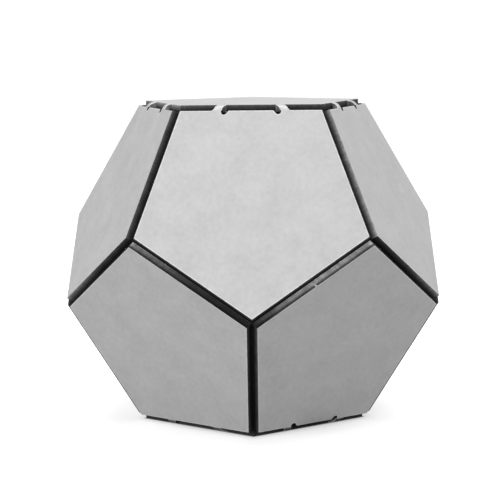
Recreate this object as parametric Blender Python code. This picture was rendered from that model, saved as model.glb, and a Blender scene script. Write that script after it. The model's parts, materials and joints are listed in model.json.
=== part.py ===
"""Fold-up dodecahedron puzzle: twelve five-sided plates of one metal sheet, joined by eleven folds.

Each fold is a row of three slots with two slanted straps left between them. The straps bend and
twist when the fold closes. The net is two flowers, a hub plate with five petals each, linked
by one fold at the back. It is modelled closed, standing on its bottom plate.

Metres, +Z up, -Y to the front, origin under the middle of the bottom plate.
"""

import math

import bmesh
import bpy
from mathutils import Matrix, Vector

# Driving dimensions
EDGE = 0.040  # edge of the dodecahedron that the plates' middle planes make
THICKNESS = 0.002
INSET = 0.00085  # how far each plate stops short of that edge, which is half a slot
STRAP_OFFSET = 0.0086  # from the middle of a fold to a strap's middle
STRAP_WIDTH = 0.0019
STRAP_SLANT = 0.7  # how far a strap leans along the fold, for each unit that it crosses
HOOK_RADIUS = 0.00062  # round end of the hook beside each strap
HOOK_OFFSET = 0.0074  # from the middle of a fold to the centre of a hook's round end
HOOK_DEPTH = 0.00055  # from the plate's edge to that centre
HOOK_SLOPE = math.radians(53.0)  # between a hook's inner side and the plate's edge
HOOK_MOUTH = 0.0005  # radius where that side runs out into the edge
GAP = 0.0003  # between a strap and the plates that it joins

# Derived sizes
SIDES = 5
STEP = math.tau / SIDES
APOTHEM = EDGE / (2 * math.tan(math.pi / SIDES))
INRADIUS = EDGE / 2 * math.sqrt((25 + 11 * math.sqrt(5)) / 10)
FOLD = math.acos(1 / math.sqrt(5))  # what each fold turns through from the flat sheet
HALF_SIDE = EDGE / 2 - INSET * math.tan(math.pi / SIDES)
BEND_RADIUS = INSET / math.tan(FOLD / 2)  # of a strap's middle, touching both middle planes
STRAP_LENGTH_ON_FOLD = STRAP_WIDTH * math.hypot(1, STRAP_SLANT)

HOOK_SEGMENTS = 8
MOUTH_SEGMENTS = 3
BEND_SEGMENTS = 8

ROOT = "bottom_plate"

# Each plate's parent, which side of the parent it folds from, and the plate that the fold's
# hooks are cut into. Sides are numbered anticlockwise, seen from outside, from the plate's own
# fold to its parent, which is side 0.
FOLDS = {
    "lower_petal_rear": (ROOT, 0, "child"),
    "lower_petal_right": (ROOT, 1, "child"),
    "lower_petal_front_right": (ROOT, 2, "child"),
    "lower_petal_front_left": (ROOT, 3, "parent"),
    "lower_petal_left": (ROOT, 4, "child"),
    "upper_petal_rear_left": ("lower_petal_rear", 2, "child"),
    "top_plate": ("upper_petal_rear_left", 3, "parent"),
    "upper_petal_left": ("top_plate", 1, "child"),
    "upper_petal_front": ("top_plate", 2, "child"),
    "upper_petal_right": ("top_plate", 3, "child"),
    "upper_petal_rear_right": ("top_plate", 4, "child"),
}

# The two straps of each fold are named after the fold.
FOLD_NAMES = {
    "lower_petal_rear": "base_rear",
    "lower_petal_right": "base_right",
    "lower_petal_front_right": "base_front_right",
    "lower_petal_front_left": "base_front_left",
    "lower_petal_left": "base_left",
    "upper_petal_rear_left": "link",
    "top_plate": "top_rear_left",
    "upper_petal_left": "top_left",
    "upper_petal_front": "top_front",
    "upper_petal_right": "top_right",
    "upper_petal_rear_right": "top_rear_right",
}


def clear_scene():
    for obj in list(bpy.data.objects):
        bpy.data.objects.remove(obj, do_unlink=True)


def metal(name, colour, roughness):
    material = bpy.data.materials.new(name)
    material.use_nodes = True
    shader = material.node_tree.nodes["Principled BSDF"]
    shader.inputs["Base Color"].default_value = (*colour, 1)
    shader.inputs["Metallic"].default_value = 0.9
    shader.inputs["Roughness"].default_value = roughness
    return material


def arc(centre, radius, start, end, segments):
    """Points on a circle, both ends included, as (along, across) pairs."""
    for i in range(segments + 1):
        turn = start + (end - start) * i / segments
        yield (
            centre[0] + radius * math.cos(turn),
            centre[1] + radius * math.sin(turn),
        )


def hook_outline():
    """One hook's outline in a plate's edge, from the strap's side to the middle slot's side.

    A point is (distance from the middle of the edge, depth into the plate).
    """
    centre = (HOOK_OFFSET, HOOK_DEPTH)
    last = math.pi / 2 + HOOK_SLOPE
    round_end = list(arc(centre, HOOK_RADIUS, 0, last, HOOK_SEGMENTS))
    # The inner side runs straight down to the edge and turns into it through the mouth's arc.
    touch = round_end[-1]
    corner = touch[0] - touch[1] / math.tan(HOOK_SLOPE)
    mouth_centre = (corner - HOOK_MOUTH * math.tan(HOOK_SLOPE / 2), HOOK_MOUTH)
    mouth = arc(
        mouth_centre, HOOK_MOUTH, HOOK_SLOPE - math.pi / 2, -math.pi / 2, MOUTH_SEGMENTS
    )
    return [(centre[0] + HOOK_RADIUS, 0.0), *round_end, *mouth]


def side_outline(hooked):
    """One side of a plate, anticlockwise, as (along, depth) points without its last corner."""
    points = [(-HALF_SIDE, 0.0)]
    if hooked:
        hook = hook_outline()
        points += [(-along, depth) for along, depth in hook]
        points += reversed(hook)
    return points


def plate_outline(hooked_sides):
    """A plate's corners round its own centre, with side 0 facing -Y."""
    reach = APOTHEM - INSET
    for side in range(SIDES):
        turn = Matrix.Rotation(side * STEP, 2)
        for along, depth in side_outline(side in hooked_sides):
            yield turn @ Vector((along, depth - reach))


def plate_mesh(name, hooked_sides, centre_y):
    """A flat plate with square-cut edges, centred on its middle plane at (0, centre_y)."""
    mesh = bpy.data.meshes.new(name)
    bm = bmesh.new()
    corners = [
        bm.verts.new((point.x, point.y + centre_y, -THICKNESS / 2))
        for point in plate_outline(hooked_sides)
    ]
    under = bm.faces.new(corners)
    under.normal_flip()
    extruded = bmesh.ops.extrude_face_region(bm, geom=[under], use_keep_orig=True)
    raised = [item for item in extruded["geom"] if isinstance(item, bmesh.types.BMVert)]
    bmesh.ops.translate(bm, vec=(0, 0, THICKNESS), verts=raised)
    bmesh.ops.triangulate(bm, faces=[face for face in bm.faces if len(face.verts) > 4])
    bmesh.ops.recalc_face_normals(bm, faces=bm.faces)
    bm.to_mesh(mesh)
    bm.free()
    return mesh


def bend_point(radius, angle):
    """Where a bent strap's section is, from the fold's line: (away from the parent, outward)."""
    return (
        -INSET + radius * math.sin(angle),
        -BEND_RADIUS + radius * math.cos(angle),
    )


def strap_section():
    """A bent strap's section: its outer arc, then the tip where its two end faces meet.

    Each point comes with how far along the strap it is, from -1 at the parent to 1 at the child.
    """
    outer = BEND_RADIUS + THICKNESS / 2
    first = math.asin(GAP / outer)
    section = []
    for i in range(BEND_SEGMENTS + 1):
        angle = first + (FOLD - 2 * first) * i / BEND_SEGMENTS
        section.append((*bend_point(outer, angle), 2 * angle / FOLD - 1))
    section.append((*bend_point(GAP / math.sin(FOLD / 2), FOLD / 2), 0.0))
    return section


def strap_mesh(name, side, lean):
    """One strap across a fold: side is -1 or 1, and lean is 1 where it splays towards the child."""
    mesh = bpy.data.meshes.new(name)
    bm = bmesh.new()
    rows = []
    for half_width in (-STRAP_LENGTH_ON_FOLD / 2, STRAP_LENGTH_ON_FOLD / 2):
        rows.append(
            [
                bm.verts.new(
                    (
                        side * (STRAP_OFFSET + lean * STRAP_SLANT * INSET * progress)
                        + half_width,
                        across,
                        outward,
                    )
                )
                for across, outward, progress in strap_section()
            ]
        )
    near, far = rows
    tip = len(near) - 1
    for i in range(tip - 1):
        bm.faces.new((near[tip], near[i], near[i + 1]))
        bm.faces.new((far[tip], far[i + 1], far[i]))
    for i in range(tip + 1):
        after = (i + 1) % (tip + 1)
        bm.faces.new((near[i], near[after], far[after], far[i]))
    bmesh.ops.recalc_face_normals(bm, faces=bm.faces)
    bm.to_mesh(mesh)
    bm.free()
    return mesh


def place(name, mesh, frame, material):
    obj = bpy.data.objects.new(name, mesh)
    obj.matrix_world = frame
    mesh.materials.append(material)
    bpy.context.scene.collection.objects.link(obj)


def hooked_sides_of(plate):
    """The sides of a plate that hooks are cut into."""
    sides = {
        side
        for parent, side, hooks_in in FOLDS.values()
        if parent == plate and hooks_in == "parent"
    }
    if plate in FOLDS and FOLDS[plate][2] == "child":
        sides.add(0)
    return sides


def fold_frame(plate, frames):
    """The frame of a plate's fold: X along it, Y away from the parent in its plane, Z outward."""
    parent, side, _ = FOLDS[plate]
    centre_y = 0 if parent == ROOT else APOTHEM
    turn = Matrix.Rotation(side * STEP + math.pi, 4, "Z")
    at_side = Matrix.Translation((0, centre_y, 0)) @ turn @ Matrix.Translation((0, APOTHEM, 0))
    return frames[parent] @ at_side


def build():
    clear_scene()
    sheet = metal("sheet_metal", (0.58, 0.58, 0.58), 0.5)
    worked = metal("strap_metal", (0.62, 0.62, 0.62), 0.42)

    face_down = Matrix.Rotation(math.pi, 4, "X")
    frames = {ROOT: Matrix.Translation((0, 0, THICKNESS / 2)) @ face_down}
    place(ROOT, plate_mesh(ROOT, hooked_sides_of(ROOT), 0), frames[ROOT], sheet)

    for plate, (_, _, hooks_in) in FOLDS.items():
        fold = fold_frame(plate, frames)
        frames[plate] = fold @ Matrix.Rotation(-FOLD, 4, "X")
        mesh = plate_mesh(plate, hooked_sides_of(plate), APOTHEM)
        place(plate, mesh, frames[plate], sheet)
        lean = 1 if hooks_in == "child" else -1
        for number, side in enumerate((-1, 1), 1):
            name = f"strap_{FOLD_NAMES[plate]}_{number}"
            place(name, strap_mesh(name, side, lean), fold, worked)


build()
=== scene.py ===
"""Looks of the fold-up dodecahedron: twelve sheet-metal plates and the straps that join them.

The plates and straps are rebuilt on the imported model's own folds: plates with rounded arrises and
laser-cut edges, and straps as whole bars that bend and lean from one plate's edge to the other's.

Metres, +Z up, -Y to the front, origin under the middle of the bottom plate.
"""

import json
import math
from collections import namedtuple

import bmesh
import bpy
from mathutils import Matrix, Vector

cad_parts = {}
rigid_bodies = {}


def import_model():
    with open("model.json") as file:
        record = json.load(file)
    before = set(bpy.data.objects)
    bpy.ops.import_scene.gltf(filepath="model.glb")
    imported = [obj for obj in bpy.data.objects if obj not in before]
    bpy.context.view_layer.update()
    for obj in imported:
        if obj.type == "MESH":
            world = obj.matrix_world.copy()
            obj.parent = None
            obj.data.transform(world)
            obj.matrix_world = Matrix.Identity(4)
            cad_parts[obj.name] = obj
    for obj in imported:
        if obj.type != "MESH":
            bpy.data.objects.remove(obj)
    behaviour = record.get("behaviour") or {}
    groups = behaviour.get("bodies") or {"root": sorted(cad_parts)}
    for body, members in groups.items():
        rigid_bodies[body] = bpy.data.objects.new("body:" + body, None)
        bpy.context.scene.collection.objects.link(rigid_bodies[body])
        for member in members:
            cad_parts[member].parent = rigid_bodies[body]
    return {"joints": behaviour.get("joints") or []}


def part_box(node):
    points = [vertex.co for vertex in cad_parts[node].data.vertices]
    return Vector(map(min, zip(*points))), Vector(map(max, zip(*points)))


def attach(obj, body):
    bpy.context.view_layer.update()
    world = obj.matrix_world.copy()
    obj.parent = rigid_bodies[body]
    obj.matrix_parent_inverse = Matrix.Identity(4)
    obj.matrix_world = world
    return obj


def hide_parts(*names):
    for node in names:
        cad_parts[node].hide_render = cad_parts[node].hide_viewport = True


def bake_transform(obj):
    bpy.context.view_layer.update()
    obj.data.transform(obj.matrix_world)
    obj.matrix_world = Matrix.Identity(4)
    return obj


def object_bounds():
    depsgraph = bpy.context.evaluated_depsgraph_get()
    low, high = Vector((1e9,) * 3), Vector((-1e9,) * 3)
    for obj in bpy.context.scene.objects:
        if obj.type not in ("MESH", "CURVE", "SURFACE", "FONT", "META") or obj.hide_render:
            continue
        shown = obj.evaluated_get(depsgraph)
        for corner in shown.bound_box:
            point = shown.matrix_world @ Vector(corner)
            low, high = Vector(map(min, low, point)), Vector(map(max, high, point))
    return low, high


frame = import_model()
cad_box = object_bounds()

MM = 0.001

# ---------------------------------------------------------------- sizes taken from the frame
JOINTS = {joint["name"]: joint for joint in frame["joints"]}
BASE_LOW, BASE_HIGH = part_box("bottom_plate")
THICKNESS = BASE_HIGH.z - BASE_LOW.z
SIDES = 5
STEP = math.tau / SIDES
REAR_FOLD = Vector(JOINTS["fold_base_rear"]["pos_m"])
APOTHEM = REAR_FOLD.y
INSET = APOTHEM - BASE_HIGH.y  # how far each plate stops short of its folds
EDGE = 2 * APOTHEM * math.tan(math.pi / SIDES)
FOLD = math.acos(1 / math.sqrt(5))  # what each fold turns through from the flat sheet
HALF_SIDE = EDGE / 2 - INSET * math.tan(math.pi / SIDES)
BEND_RADIUS = INSET / math.tan(FOLD / 2)  # of a strap's middle, touching both middle planes

# ---------------------------------------------------------------- sizes of the fold's details
STRAP_OFFSET = 8.6 * MM  # from the middle of a fold to a strap's middle
STRAP_WIDTH = 1.9 * MM
STRAP_SLANT = 0.7  # how far a strap leans along the fold, for each unit that it crosses
STRAP_HALF = STRAP_WIDTH * math.hypot(1, STRAP_SLANT) / 2
ROOT_FLARE = 0.16 * MM  # how much a strap widens, on each side, where it meets a plate
FLARE_POWER = 5  # how suddenly it does
HOOK_RADIUS = 0.62 * MM  # round end of the hook beside each strap
HOOK_OFFSET = 7.4 * MM  # from the middle of a fold to the centre of a hook's round end
HOOK_DEPTH = 0.55 * MM  # from the plate's edge to that centre
HOOK_SLOPE = math.radians(53)  # between a hook's inner side and the plate's edge
HOOK_MOUTH = 0.5 * MM  # radius where that side runs out into the edge
ARRIS = 0.2 * MM  # rounding of the plates' and straps' outer arrises
MARGIN = 0.3 * MM  # painted highlight: a lighter strip on a plate's outer skin beside its arris
BURR = 0.18 * MM  # lip that the cut leaves on the plates' inner arrises
ARRIS_FADE = 0.35 * MM  # length over which an arris fades out beside a strap
HOOK_FADE = 0.45 * HOOK_DEPTH  # likewise, up the outer side of a hook
CORNER = 0.21 * MM  # rounding of the plates' corners, seen face on
NIB_WIDTH = 0.5 * MM  # what is left of the bridge that held a plate in its sheet
NIB_HEIGHT = 0.14 * MM
NIB_TOP = ((-0.72, 1.0), (0.6, 0.92))  # its broken top, in half widths and heights
NIB_HIGHLIGHT = 0.3  # painted highlight on the nib's arris, where a whole arris has 1

HOOK_SEGMENTS = 12
MOUTH_SEGMENTS = 4
CORNER_SEGMENTS = 3
BEND_SEGMENTS = 14
LEAST_MITRE = 0.5  # keeps an offset short where an outline turns sharply
SAME_SPOT = 1e-8  # vertices nearer than this become one
SHARP_ANGLE = math.radians(35)  # a strap's edges that bend more than this are shaded sharp

ROOT = "bottom_plate"

# Each plate's parent, the side of the parent that it folds from, and the plate that the fold's
# hooks are cut into. Sides run anticlockwise, seen from outside, from the plate's own fold.
FOLDS = {
    "lower_petal_rear": (ROOT, 0, "child"),
    "lower_petal_right": (ROOT, 1, "child"),
    "lower_petal_front_right": (ROOT, 2, "child"),
    "lower_petal_front_left": (ROOT, 3, "parent"),
    "lower_petal_left": (ROOT, 4, "child"),
    "upper_petal_rear_left": ("lower_petal_rear", 2, "child"),
    "top_plate": ("upper_petal_rear_left", 3, "parent"),
    "upper_petal_left": ("top_plate", 1, "child"),
    "upper_petal_front": ("top_plate", 2, "child"),
    "upper_petal_right": ("top_plate", 3, "child"),
    "upper_petal_rear_right": ("top_plate", 4, "child"),
}
FOLD_OF_CHILD = {joint["child"]: joint["name"] for joint in frame["joints"]}
NIB_AT = ("lower_petal_front_right", 3)

# ---------------------------------------------------------------- how the cut edges look
# How light each cut edge is painted, where that differs: (plate, side): at the side's start,
# middle and end. This is painted light and shade, for how much light reaches the edge in its
# seam. Elsewhere the edge has painted shade.
EDGE_LIGHT_AND_SHADE = {
    ("lower_petal_front_right", 3): (0.62, 0.75, 0.05),
    ("lower_petal_front_left", 2): (0.05, 0.09, 0.5),
    ("lower_petal_front_right", 4): (0.14, 0.1, 0.08),
    ("upper_petal_right", 1): (0.45, 0.45, 0.4),
    ("upper_petal_right", 2): (0.06, 0.14, 0.5),
    ("upper_petal_left", 3): (0.5, 0.14, 0.06),
    ("upper_petal_left", 4): (0.13, 0.13, 0.15),
    ("top_plate", 1): (0.35, 0.55, 0.55),
    ("top_plate", 2): (0.2, 0.14, 0.14),
    ("top_plate", 3): (0.16, 0.15, 0.15),
}
# Painted shade on every other cut edge.
SHADED_EDGE = (0.08, 0.08, 0.08)
STRAP_EDGE_TONE = 0.5  # both sides of every strap

# Depths below the outer face at which a cut changes, as shares of the thickness, and how light it
# is painted from one depth to the next: painted shade that deepens into the seam. On two plates
# whose cut edges face up, the outer third of the cut is the rough dark part, and the deeper part
# has painted light from above through the seam.
CUT_DEPTHS = (0.3, 0.55)
CUT_SHADES = (1.0, 0.65, 0.35, 0.08)
ROUGH_AND_LIT_TOP_SHADES = (0.12, 0.35, 1.15, 1.3)
ROUGH_AND_LIT_TOPS = (("lower_petal_front_right", 3), ("lower_petal_front_left", 2))

# A plate's loops from its outer skin over the arris, down the cut and over the burr to the inner
# skin: inward offset, share of the thickness below the outer face and what is added to it (the
# offsets shrink with the arris beside a strap), painted arris highlight, and which of the cut's
# painted shades it has.
ROUND = 1 - math.sqrt(0.5)
PLATE_LOOPS = (
    (ARRIS + MARGIN, 0.0, 0.0, 0.0, 0),
    (ARRIS, 0.0, 0.0, 1.0, 0),
    (ARRIS * ROUND, 0.0, ARRIS * ROUND, 1.0, 0),
    (0.0, 0.0, ARRIS, 1.0, 0),
    (0.0, CUT_DEPTHS[0], 0.0, 0.0, 1),
    (0.0, CUT_DEPTHS[1], 0.0, 0.0, 2),
    (0.0, 1.0, -BURR, 0.0, 3),
    (-BURR * ROUND, 1.0, -BURR * ROUND, 0.0, 3),
    (-BURR, 1.0, 0.0, 0.0, 3),
)
CUT_LOOPS = range(1, 8)  # the outer arrises are as dark as the cut
SKIN, CUT, INSIDE = 0, 1, 2  # a plate's material slots

# ---------------------------------------------------------------- how the surfaces' detail looks
# Cells of noise for each metre: clouds of 3 to 9 mm, blotches of about 1 mm, fine grain, specks,
# and lines rolled along the sheet's X. The cut is scored across its thickness, which is Y there.
CLOUDS = 130
BLOTCHES = 750
GRAIN = 9000
SPECKS = 2600
ROLLING_LINES = (260, 7000, 260)
FINE_SCORES = (6500, 350, 6500)
COARSE_SCORES = (1700, 250, 1700)
CUT_PATCHES = 420
NOISE_MIDDLE = 0.5
NOISE_SPREAD = 0.2  # most of a noise's values are this near its middle
ARRIS_HIGHLIGHT_TONE = 0.34  # what a full painted arris highlight adds to a skin's tone
ARRIS_HIGHLIGHT_ROUGHNESS = -0.15  # and to its roughness
CUT_SPECULAR = 0.15  # a cut has hardly any highlight


# ---------------------------------------------------------------- the net, folded and flat
def at_side(side, centre_y):
    """From a plate's frame to the frame of the fold on one of its sides, still flat."""
    turn = Matrix.Rotation(side * STEP + math.pi, 4, "Z")
    return (
        Matrix.Translation((0, centre_y, 0)) @ turn @ Matrix.Translation((0, APOTHEM, 0))
    )


folded = {ROOT: Matrix.Translation((0, 0, THICKNESS / 2)) @ Matrix.Rotation(math.pi, 4, "X")}
flat = {ROOT: Matrix.Identity(4)}
fold_frames = {}
for plate, (parent, side, _) in FOLDS.items():
    step = at_side(side, 0 if parent == ROOT else APOTHEM)
    fold_frames[plate] = folded[parent] @ step
    folded[plate] = fold_frames[plate] @ Matrix.Rotation(-FOLD, 4, "X")
    flat[plate] = flat[parent] @ step


# ---------------------------------------------------------------- materials
class Shading:
    """A new material, with short names for the nodes that its look is made of."""

    def __init__(self, name):
        self.material = bpy.data.materials.new(name)
        self.material.use_nodes = True
        self.nodes = self.material.node_tree.nodes
        self.links = self.material.node_tree.links

    def make(self, kind, inputs):
        """A new node with each input linked to another node's output or set to a value."""
        node = self.nodes.new("ShaderNode" + kind)
        for key, value in inputs.items():
            if isinstance(value, bpy.types.NodeSocket):
                self.links.new(value, node.inputs[key])
            else:
                node.inputs[key].default_value = value
        return node

    def attribute(self, name):
        node = self.nodes.new("ShaderNodeAttribute")
        node.attribute_name = name
        return node

    def stretch(self, source, scale):
        return self.make("Mapping", {"Vector": source, "Scale": scale}).outputs["Vector"]

    def noise(self, source, scale, detail, roughness, distortion=0.0):
        inputs = {"Vector": source, "Scale": scale, "Detail": detail}
        inputs |= {"Roughness": roughness, "Distortion": distortion}
        return self.make("TexNoise", inputs).outputs["Fac"]

    def remap(self, source, low, high, to_low, to_high, smooth=False):
        inputs = {"Value": source, "From Min": low, "From Max": high}
        inputs |= {"To Min": to_low, "To Max": to_high}
        node = self.make("MapRange", inputs)
        node.interpolation_type = "SMOOTHSTEP" if smooth else "LINEAR"
        return node.outputs["Result"]

    def swing(self, source, reach, about=0.0, spread=NOISE_SPREAD):
        """From about - reach to about + reach, as a noise goes over its own spread."""
        low, high = NOISE_MIDDLE - spread, NOISE_MIDDLE + spread
        return self.remap(source, low, high, about - reach, about + reach)

    def calculate(self, operation, first, *others):
        """One operation on all the values, from first to last."""
        for other in others:
            node = self.make("Math", {0: first, 1: other})
            node.operation = operation
            first = node.outputs["Value"]
        return first

    def grey(self, value):
        inputs = {"Red": value, "Green": value, "Blue": value}
        return self.make("CombineColor", inputs).outputs["Color"]

    def bump(self, height, strength, distance, after=None):
        inputs = {"Height": height, "Strength": strength, "Distance": distance}
        if after is not None:
            inputs["Normal"] = after
        return self.make("Bump", inputs).outputs["Normal"]

    def finish(self, tone, metallic, roughness, normal):
        """Feeds the material's own Principled shader, which it returns."""
        shader = self.nodes["Principled BSDF"]
        shader.inputs["Metallic"].default_value = metallic
        self.links.new(self.grey(tone), shader.inputs["Base Color"])
        self.links.new(roughness, shader.inputs["Roughness"])
        self.links.new(normal, shader.inputs["Normal"])
        return shader

    def glow(self, strength):
        return self.make("Emission", {"Strength": strength}).outputs["Emission"]

    def surface(self, shader):
        """Uses a shader in place of the material's own."""
        self.nodes.remove(self.nodes["Principled BSDF"])
        self.links.new(shader, self.nodes["Material Output"].inputs["Surface"])


def skin_material(name, base, metallic, roughness):
    """Mill-finish sheet: cloudy mottling, fine rolling lines, and a painted highlight along each
    arris.
    """
    shading = Shading(name)
    sheet = shading.attribute("sheet_co").outputs["Vector"]
    arris = shading.attribute("arris").outputs["Fac"]
    clouds = shading.noise(sheet, CLOUDS, detail=3, roughness=0.55, distortion=0.4)
    blotches = shading.noise(sheet, BLOTCHES, detail=4, roughness=0.6)
    rolled = shading.stretch(sheet, ROLLING_LINES)
    lines = shading.noise(rolled, 1.0, detail=3, roughness=0.6)
    grain = shading.noise(sheet, GRAIN, detail=2, roughness=0.5)
    specks = shading.noise(sheet, SPECKS, detail=2, roughness=0.4)
    # The painted arris highlight is patchy, and at its thinnest a bit over half of what the
    # attribute says.
    arris_highlight = shading.calculate("MULTIPLY", arris, shading.remap(blotches, 0.35, 0.6, 0.55, 1.0))

    tone = shading.calculate(
        "ADD",
        shading.swing(clouds, 0.026, about=base),
        shading.swing(blotches, 0.03),
        shading.swing(lines, 0.012, spread=0.25),
        shading.swing(grain, 0.012),
        shading.remap(specks, 0.7, 0.8, 0.0, -0.05, smooth=True),
        shading.calculate("MULTIPLY", arris_highlight, ARRIS_HIGHLIGHT_TONE),
    )
    rough = shading.calculate(
        "ADD",
        shading.swing(clouds, 0.035, about=roughness),
        shading.swing(lines, 0.03, spread=0.25),
        shading.swing(blotches, 0.03),
        shading.calculate("MULTIPLY", arris_highlight, ARRIS_HIGHLIGHT_ROUGHNESS),
    )
    normal = shading.bump(lines, strength=0.25, distance=0.004 * MM)
    normal = shading.bump(grain, strength=0.25, distance=0.004 * MM, after=normal)
    normal = shading.bump(blotches, strength=0.35, distance=0.018 * MM, after=normal)
    shading.finish(tone, metallic, rough, normal)
    return shading.material


def cut_material(name, base, metallic, roughness):
    """A laser-cut edge: scored across the thickness, with the painted light and shade of its seam
    that its attribute gives.
    """
    shading = Shading(name)
    cut = shading.attribute("cut_co").outputs["Vector"]
    bare = shading.attribute("bare").outputs["Fac"]
    fine = shading.stretch(cut, FINE_SCORES)
    score = shading.noise(fine, 1.0, detail=3, roughness=0.6, distortion=0.3)
    coarse = shading.noise(shading.stretch(cut, COARSE_SCORES), 1.0, detail=2, roughness=0.5)
    patches = shading.noise(cut, CUT_PATCHES, detail=3, roughness=0.6)

    tone = shading.calculate(
        "MULTIPLY",
        shading.swing(patches, 0.25 * base, about=base),
        shading.swing(score, 0.22, about=1.0),
        shading.swing(coarse, 0.15, about=1.0),
        bare,
    )
    rough = shading.swing(score, 0.09, about=roughness + 0.01)
    normal = shading.bump(score, strength=0.6, distance=0.02 * MM)
    normal = shading.bump(coarse, strength=0.4, distance=0.03 * MM, after=normal)
    shader = shading.finish(tone, metallic, rough, normal)
    shader.inputs["Specular IOR Level"].default_value = CUT_SPECULAR
    return shading.material


skin = skin_material("sheet_skin", base=0.55, metallic=0.4, roughness=0.6)
# The inner skin is darker than the outer: painted shade inside the puzzle.
inner_skin = skin_material("inner_skin", base=0.3, metallic=0.3, roughness=0.65)
cut_edge = cut_material("laser_cut_edge", base=0.6, metallic=0.1, roughness=0.6)
strap_skin = skin_material("strap_skin", base=0.52, metallic=0.4, roughness=0.6)
strap_cut = cut_material("strap_cut_side", base=0.4, metallic=0.1, roughness=0.6)
# The straps round the base are darker: painted shade, where they curl under towards the floor.
low_strap_skin = skin_material("low_strap_skin", base=0.1, metallic=0.4, roughness=0.6)
shaded_low_strap_cut = cut_material("low_strap_cut_side", base=0.15, metallic=0.1, roughness=0.6)


# ---------------------------------------------------------------- mesh helpers
def finish_mesh(name, bm, materials):
    """Turns a bmesh into an object with its materials."""
    mesh = bpy.data.meshes.new(name)
    bm.normal_update()
    bm.to_mesh(mesh)
    bm.free()
    for material in materials:
        mesh.materials.append(material)
    obj = bpy.data.objects.new(name, mesh)
    bpy.context.scene.collection.objects.link(obj)
    return obj


def arc(centre, radius, start, end, segments):
    """Points on a circle, both ends included, as (along, across) pairs."""
    for i in range(segments + 1):
        turn = start + (end - start) * i / segments
        yield (centre[0] + radius * math.cos(turn), centre[1] + radius * math.sin(turn))


# ---------------------------------------------------------------- plates
def hook_outline():
    """One hook in a plate's edge, as (along, depth), from the strap's side inwards."""
    centre = (HOOK_OFFSET, HOOK_DEPTH)
    round_end = list(arc(centre, HOOK_RADIUS, 0, math.pi / 2 + HOOK_SLOPE, HOOK_SEGMENTS))
    touch = round_end[-1]
    corner = touch[0] - touch[1] / math.tan(HOOK_SLOPE)
    mouth_centre = (corner - HOOK_MOUTH * math.tan(HOOK_SLOPE / 2), HOOK_MOUTH)
    mouth = arc(
        mouth_centre, HOOK_MOUTH, HOOK_SLOPE - math.pi / 2, -math.pi / 2, MOUTH_SEGMENTS
    )
    return [*round_end, *mouth]


def root_span(hooked):
    """How far a strap's root on a plate's edge is from the middle of the side: (in, out)."""
    middle = STRAP_OFFSET + (1 if hooked else -1) * STRAP_SLANT * INSET
    return middle - STRAP_HALF - ROOT_FLARE, middle + STRAP_HALF + ROOT_FLARE


def half_side_outline(kind):
    """Half of one side, from its middle to near its corner, as (along, depth, arris).

    The side's kind is hooked or plain where it has straps, and otherwise None.
    """
    points = []
    if kind is None:
        points.append((HALF_SIDE / 2, 0.0, 1.0))
    else:
        inner, outer = root_span(kind == "hooked")
        if kind == "hooked":
            hook = hook_outline()
            points += [(a, d, 1.0) for a, d in reversed(hook)]
            # The hook's outer side runs up to the strap's root.
            points.append((hook[0][0], HOOK_FADE, 1.0))
            points.append((hook[0][0], 0.0, 0.0))
        else:
            points.append((inner - ARRIS_FADE, 0.0, 1.0))
            points.append((inner, 0.0, 0.0))
        points.append((outer, 0.0, 0.0))
        points.append((outer + ARRIS_FADE, 0.0, 1.0))
    points.append((HALF_SIDE - CORNER * math.tan(math.pi / SIDES), 0.0, 1.0))
    return points


def corner_outline():
    """The rounded corner after a side's end, as (along, depth, arris) in that side's axes."""
    centre = (HALF_SIDE - CORNER * math.tan(math.pi / SIDES), CORNER)
    points = list(arc(centre, CORNER, -math.pi / 2, -math.pi / 2 + STEP, CORNER_SEGMENTS))
    return [(a, d, 1.0) for a, d in points[1:-1]]


def nib_outline():
    """The nib as (along, depth, arris, the next face is the nib's)."""
    half = NIB_WIDTH / 2
    return [
        (-half - ARRIS_FADE, 0.0, 1.0, False),
        (-half, 0.0, NIB_HIGHLIGHT, True),
        *((half * a, -NIB_HEIGHT * h, NIB_HIGHLIGHT, True) for a, h in NIB_TOP),
        (half, 0.0, NIB_HIGHLIGHT, False),
        (half + ARRIS_FADE, 0.0, 1.0, False),
    ]


def painted_edge_light(name, side, share):
    """How light the cut is painted, for the light in its seam, at a share of one side's length."""
    start, middle, end = EDGE_LIGHT_AND_SHADE.get((name, side), SHADED_EDGE)
    if share < 0.5:
        return start + (middle - start) * 2 * share
    return middle + (end - middle) * (2 * share - 1)


# A point of a plate's outline round its centre: where it is, how far its arris is rounded,
# whether the next face is the nib's, how light each of the cut's shades is painted, and, for a
# point that rounds a corner, the direction of that corner.
OutlinePoint = namedtuple("OutlinePoint", "spot rounding nib bare corner")


def plate_outline(name, kinds, nib_side):
    """A plate's outline as OutlinePoints, anticlockwise seen from outside."""
    reach = APOTHEM - INSET
    outline = []
    for side in range(SIDES):
        shades = ROUGH_AND_LIT_TOP_SHADES if (name, side) in ROUGH_AND_LIT_TOPS else CUT_SHADES
        turn = Matrix.Rotation(side * STEP, 2)
        half = half_side_outline(kinds.get(side))
        points = [(-a, d, r, False) for a, d, r in reversed(half)]
        points += nib_outline() if side == nib_side else [(0.0, 0.0, 1.0, False)]
        points += [(*point, False) for point in half + corner_outline()]
        for along, depth, rounding, nib in points:
            spot = turn @ Vector((along, depth - reach))
            corner = None
            if abs(along) > HALF_SIDE - 2 * CORNER:
                sideways = math.copysign(math.tan(math.pi / SIDES), along)
                corner = turn @ Vector((sideways, -1))
            share = min(1.0, max(0.0, 0.5 + along / (2 * HALF_SIDE)))
            bare = [shade * painted_edge_light(name, side, share) for shade in shades]
            outline.append(OutlinePoint(spot, rounding, nib, bare, corner))
    return outline


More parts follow.
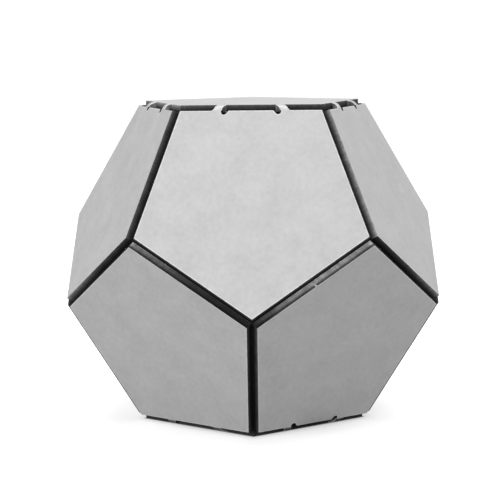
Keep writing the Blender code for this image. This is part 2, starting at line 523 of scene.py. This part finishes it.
def inward_directions(spots):
    """For each spot of an outline, the vector that offsets both of its sides by one unit."""
    directions = []
    for i, spot in enumerate(spots):
        before = (spot - spots[i - 1]).normalized()
        after = (spots[(i + 1) % len(spots)] - spot).normalized()
        inward_before = Vector((-before.y, before.x))
        inward_after = Vector((-after.y, after.x))
        middle = (inward_before + inward_after).normalized()
        directions.append(middle / max(LEAST_MITRE, middle.dot(inward_before)))
    return directions


def build_plate(name, centre_y, kinds, nib_side):
    """A plate made of PLATE_LOOPS, one inside or under the other."""
    outline = plate_outline(name, kinds, nib_side)
    spots = [point.spot for point in outline]
    directions = inward_directions(spots)
    travelled = [0.0]
    for before, after in zip(spots, spots[1:]):
        travelled.append(travelled[-1] + (after - before).length)

    bm = bmesh.new()
    cut_layer = bm.verts.layers.float_vector.new("cut_co")
    sheet_layer = bm.verts.layers.float_vector.new("sheet_co")
    arris_layer = bm.verts.layers.float.new("arris")
    edge_light_layer = bm.verts.layers.float.new("bare")
    rings = []
    for inward, depth, rise, arris_highlight, shade in PLATE_LOOPS:
        ring = []
        for point, direction, distance in zip(outline, directions, travelled):
            spot = point.spot + direction * inward * point.rounding
            if inward > CORNER and point.corner is not None:
                # This far in the rounded corner would turn inside out, so its points meet.
                spot = point.corner * (APOTHEM - INSET - inward)
            down = depth * THICKNESS + rise * point.rounding
            vert = bm.verts.new((spot.x, spot.y + centre_y, THICKNESS / 2 - down))
            vert[cut_layer] = (distance, down, centre_y)
            vert[sheet_layer] = flat[name] @ vert.co
            # The painted arris highlight.
            vert[arris_layer] = arris_highlight * point.rounding
            # The cut's painted light and shade at this point and depth.
            vert[edge_light_layer] = point.bare[shade]
            ring.append(vert)
        rings.append(ring)
    for r, (upper, lower) in enumerate(zip(rings, rings[1:])):
        for i, point in enumerate(outline):
            after = (i + 1) % len(outline)
            face = bm.faces.new((upper[i], lower[i], lower[after], upper[after]))
            face.material_index = CUT if r in CUT_LOOPS and not point.nib else SKIN
    bm.faces.new(rings[0])
    bm.faces.new(reversed(rings[-1])).material_index = INSIDE
    bmesh.ops.remove_doubles(bm, verts=bm.verts, dist=SAME_SPOT)
    bmesh.ops.triangulate(bm, faces=[face for face in bm.faces if len(face.verts) > 4])
    bmesh.ops.recalc_face_normals(bm, faces=bm.faces)
    bm.transform(folded[name])
    obj = finish_mesh(name + "_looks", bm, (skin, cut_edge, inner_skin))
    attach(obj, name)
    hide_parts(name)


# ---------------------------------------------------------------- straps
def strap_ring(half):
    """A strap's section as (along, through, painted arris highlight, cut face after it)."""
    low, high = THICKNESS / 2 - ARRIS, THICKNESS / 2
    soft = ARRIS * ROUND
    quarter = [
        (half, low, 1.0, False),
        (half - soft, high - soft, 1.0, False),
        (half - ARRIS, high, 0.0, False),
    ]
    ring = list(quarter)
    ring += [(-a, t, s, False) for a, t, s, _ in reversed(quarter)]
    ring[-1] = (*ring[-1][:3], True)
    ring += [(-a, -t, s, False) for a, t, s, _ in quarter]
    ring += [(a, -t, s, False) for a, t, s, _ in reversed(quarter)]
    ring[-1] = (*ring[-1][:3], True)
    return ring


def build_strap(plate, number, side):
    """One strap as a bar bent round the fold's arc, leaning along the fold as it goes."""
    parent, _, hooks_in = FOLDS[plate]
    lean = 1 if hooks_in == "child" else -1
    name = FOLD_OF_CHILD[plate].replace("fold_", "strap_") + f"_{number}"
    fold = fold_frames[plate]

    bm = bmesh.new()
    cut_layer = bm.verts.layers.float_vector.new("cut_co")
    sheet_layer = bm.verts.layers.float_vector.new("sheet_co")
    arris_layer = bm.verts.layers.float.new("arris")
    share_layer = bm.verts.layers.float.new("share")
    edge_light_layer = bm.verts.layers.float.new("bare")
    rings = []
    for i in range(BEND_SEGMENTS + 1):
        share = i / BEND_SEGMENTS
        progress = 2 * share - 1
        flare = ROOT_FLARE * abs(progress) ** FLARE_POWER
        middle = side * (STRAP_OFFSET + lean * STRAP_SLANT * INSET * progress)
        angle = FOLD * share
        ring = []
        for along, through, shine, _ in strap_ring(STRAP_HALF + flare):
            radius = BEND_RADIUS + through
            across = -INSET + radius * math.sin(angle)
            outward = -BEND_RADIUS + radius * math.cos(angle)
            vert = bm.verts.new((middle + along, across, outward))
            # The strap's number sets the scores of one strap apart from the other's.
            score_at = INSET * progress + 7 * MM * number
            vert[cut_layer] = (score_at, THICKNESS / 2 - through, side)
            vert[sheet_layer] = flat[plate] @ Vector((middle + along, INSET * progress, through))
            vert[arris_layer] = shine
            vert[share_layer] = share
            vert[edge_light_layer] = STRAP_EDGE_TONE
            ring.append(vert)
        rings.append(ring)
    template = strap_ring(STRAP_HALF)
    for near, far in zip(rings, rings[1:]):
        for k, (_, _, _, cut_after) in enumerate(template):
            after = (k + 1) % len(template)
            face = bm.faces.new((near[k], near[after], far[after], far[k]))
            face.material_index = CUT if cut_after else SKIN
            face.smooth = True
    bm.faces.new(rings[0])
    bm.faces.new(reversed(rings[-1]))
    bmesh.ops.recalc_face_normals(bm, faces=bm.faces)
    bm.transform(fold)
    looks = (low_strap_skin, shaded_low_strap_cut) if parent == ROOT else (strap_skin, strap_cut)
    obj = finish_mesh(name + "_looks", bm, looks)
    obj.data.set_sharp_from_angle(angle=SHARP_ANGLE)
    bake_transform(obj)
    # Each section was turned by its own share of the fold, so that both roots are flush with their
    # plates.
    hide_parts(name)


# ---------------------------------------------------------------- the puzzle
kinds_of = {plate: {} for plate in folded}
for plate, (parent, side, hooks_in) in FOLDS.items():
    kinds_of[parent][side] = "hooked" if hooks_in == "parent" else "plain"
    kinds_of[plate][0] = "hooked" if hooks_in == "child" else "plain"

for plate in folded:
    nib_side = NIB_AT[1] if plate == NIB_AT[0] else None
    build_plate(plate, 0 if plate == ROOT else APOTHEM, kinds_of[plate], nib_side)
for plate in FOLDS:
    for number, side in enumerate((-1, 1), 1):
        build_strap(plate, number, side)


# ---------------------------------------------------------------- floor and backdrop
FLOOR_SIZE = 3.0
BACKDROP_RADIUS = 8.0
UNDER = 0.05 * MM  # keeps the floors just under the object
# Between these distances from the middle a floor's glow comes up; the dimmer glow inside is a
# painted shadow round the object.
SEEN_REACH = (0.95 * APOTHEM, 1.38 * APOTHEM)
BOUNCE_REACH = (0.95 * APOTHEM, 1.12 * APOTHEM)
CONTACT_REACH = (APOTHEM - INSET, APOTHEM)  # likewise, from the bottom plate's edge to its folds: a painted contact shadow
SHADOW_SHIFT = 3 * MM  # how far right of the object the painted shadow's darkest place is


def stage_mesh(name, mesh, material, seen, lights_object):
    """A floor or backdrop, either for the camera to see or for its bounce on the object."""
    mesh.materials.append(material)
    obj = bpy.data.objects.new(name, mesh)
    bpy.context.scene.collection.objects.link(obj)
    obj.visible_camera = seen
    for kind in ("visible_diffuse", "visible_glossy", "visible_shadow"):
        setattr(obj, kind, lights_object)


def floor_mesh(name, height):
    half = FLOOR_SIZE / 2
    mesh = bpy.data.meshes.new(name)
    corners = [(-half, -half, height), (half, -half, height), (half, half, height)]
    mesh.from_pydata([*corners, (-half, half, height)], [], [(0, 1, 2, 3)])
    return mesh


def backdrop_mesh():
    mesh = bpy.data.meshes.new("backdrop")
    bm = bmesh.new()
    bmesh.ops.create_icosphere(bm, subdivisions=3, radius=BACKDROP_RADIUS)
    bm.to_mesh(mesh)
    bm.free()
    return mesh


def distance_to_side(shading, spot):
    """How far a floor point is from the middle, towards the bottom plate's nearest side."""
    reached = []
    for side in range(SIDES):
        direction = Matrix.Rotation(side * STEP, 2) @ Vector((0, 1))
        towards = shading.make("VectorMath", {0: spot, 1: (*direction, 0)})
        towards.operation = "DOT_PRODUCT"
        reached.append(towards.outputs["Value"])
    return shading.calculate("MAXIMUM", *reached)


def paper_with_painted_shadow(name, tone, glow_under, glow_beyond, reach):
    """Matt paper that also glows, less near the object and not at all under its bottom plate: a
    painted shadow.
    """
    shading = Shading(name)
    spot = shading.nodes.new("ShaderNodeTexCoord").outputs["Object"]
    distance = shading.make("VectorMath", {0: spot, 1: (SHADOW_SHIFT, 0, 0)})
    distance.operation = "DISTANCE"
    level = shading.remap(distance.outputs["Value"], *reach, glow_under, glow_beyond, smooth=True)
    clear = shading.remap(distance_to_side(shading, spot), *CONTACT_REACH, 0.0, 1.0, smooth=True)
    glowing = shading.glow(shading.calculate("MULTIPLY", level, clear))
    diffuse = shading.make("BsdfDiffuse", {"Color": (tone, tone, tone, 1)}).outputs["BSDF"]
    shading.surface(shading.make("AddShader", {0: diffuse, 1: glowing}).outputs["Shader"])
    return shading.material


def glow(name, strength):
    shading = Shading(name)
    shading.surface(shading.glow(strength))
    return shading.material


seen_paper = paper_with_painted_shadow("white_paper", 0.65, glow_under=0.5, glow_beyond=0.63, reach=SEEN_REACH)
stage_mesh("floor", floor_mesh("floor", -UNDER), seen_paper, True, False)
bounce_paper = paper_with_painted_shadow("grey_paper", 0.15, glow_under=0.0, glow_beyond=0.375, reach=BOUNCE_REACH)
stage_mesh("floor_bounce", floor_mesh("floor_bounce", -2 * UNDER), bounce_paper, False, True)
stage_mesh("backdrop", backdrop_mesh(), glow("white_backdrop", 1.05), True, False)

# ---------------------------------------------------------------- lights
MIDDLE = Vector((0, 0, (cad_box[0].z + cad_box[1].z) / 2))
WORLD_GLOW = 0.53


def from_middle(azimuth, elevation):
    """The direction from the object's middle at these angles; azimuth 0 is the front."""
    level = math.cos(elevation)
    return Vector((math.sin(azimuth) * level, -math.cos(azimuth) * level, math.sin(elevation)))


def softbox(name, azimuth, elevation, distance, size, power):
    """A rectangular area light that faces the middle of the object, with its angles in degrees."""
    light = bpy.data.lights.new(name, "AREA")
    light.shape = "RECTANGLE"
    light.size, light.size_y = size
    light.energy = power
    obj = bpy.data.objects.new(name, light)
    back = from_middle(math.radians(azimuth), math.radians(elevation))
    obj.location = MIDDLE + back * distance
    obj.rotation_mode = "QUATERNION"
    obj.rotation_quaternion = (-back).to_track_quat("-Z", "Y")
    obj.visible_camera = False
    bpy.context.scene.collection.objects.link(obj)


world = bpy.data.worlds.new("studio")
bpy.context.scene.world = world
world.use_nodes = True
world.node_tree.nodes["Background"].inputs["Color"].default_value = (1, 1, 1, 1)
world.node_tree.nodes["Background"].inputs["Strength"].default_value = WORLD_GLOW
world.cycles_visibility.camera = False

softbox("key", azimuth=0, elevation=90, distance=1.8, size=(1.4, 1.4), power=28.5)
softbox("fill", azimuth=-31, elevation=5, distance=1.2, size=(0.8, 0.3), power=5.1)
softbox("rim", azimuth=115, elevation=25, distance=1.2, size=(0.5, 0.5), power=1.5)

# ---------------------------------------------------------------- camera
CAMERA_AZIMUTH = math.radians(0.454)
CAMERA_ELEVATION = math.radians(7.713)
CAMERA_DISTANCE = 11.85 * EDGE
CAMERA_ROLL = math.radians(-0.52)
FOCAL_LENGTH = 116.532  # like the sensor's width, in millimetres
SENSOR = 36.0
CLIP = (0.01, 20)
AIM_RIGHT = 0.8786 * MM  # how far right of the picture's middle the object stands
AIM_DOWN = 2.05 * MM  # how far below it


def camera():
    data = bpy.data.cameras.new("camera")
    data.sensor_width = SENSOR
    data.lens = FOCAL_LENGTH
    data.clip_start, data.clip_end = CLIP
    obj = bpy.data.objects.new("camera", data)
    back = from_middle(CAMERA_AZIMUTH, CAMERA_ELEVATION)
    obj.location = MIDDLE + back * CAMERA_DISTANCE
    right = Vector((math.cos(CAMERA_AZIMUTH), math.sin(CAMERA_AZIMUTH), 0))
    up = right.cross(-back)
    target = MIDDLE - right * AIM_RIGHT + up * AIM_DOWN
    look = (target - obj.location).normalized()
    obj.rotation_mode = "QUATERNION"
    turn = look.to_track_quat("-Z", "Y").to_matrix() @ Matrix.Rotation(CAMERA_ROLL, 3, "Z")
    obj.rotation_quaternion = turn.to_quaternion()
    bpy.context.scene.collection.objects.link(obj)
    bpy.context.scene.camera = obj


camera()
bpy.context.scene.view_settings.view_transform = "Standard"
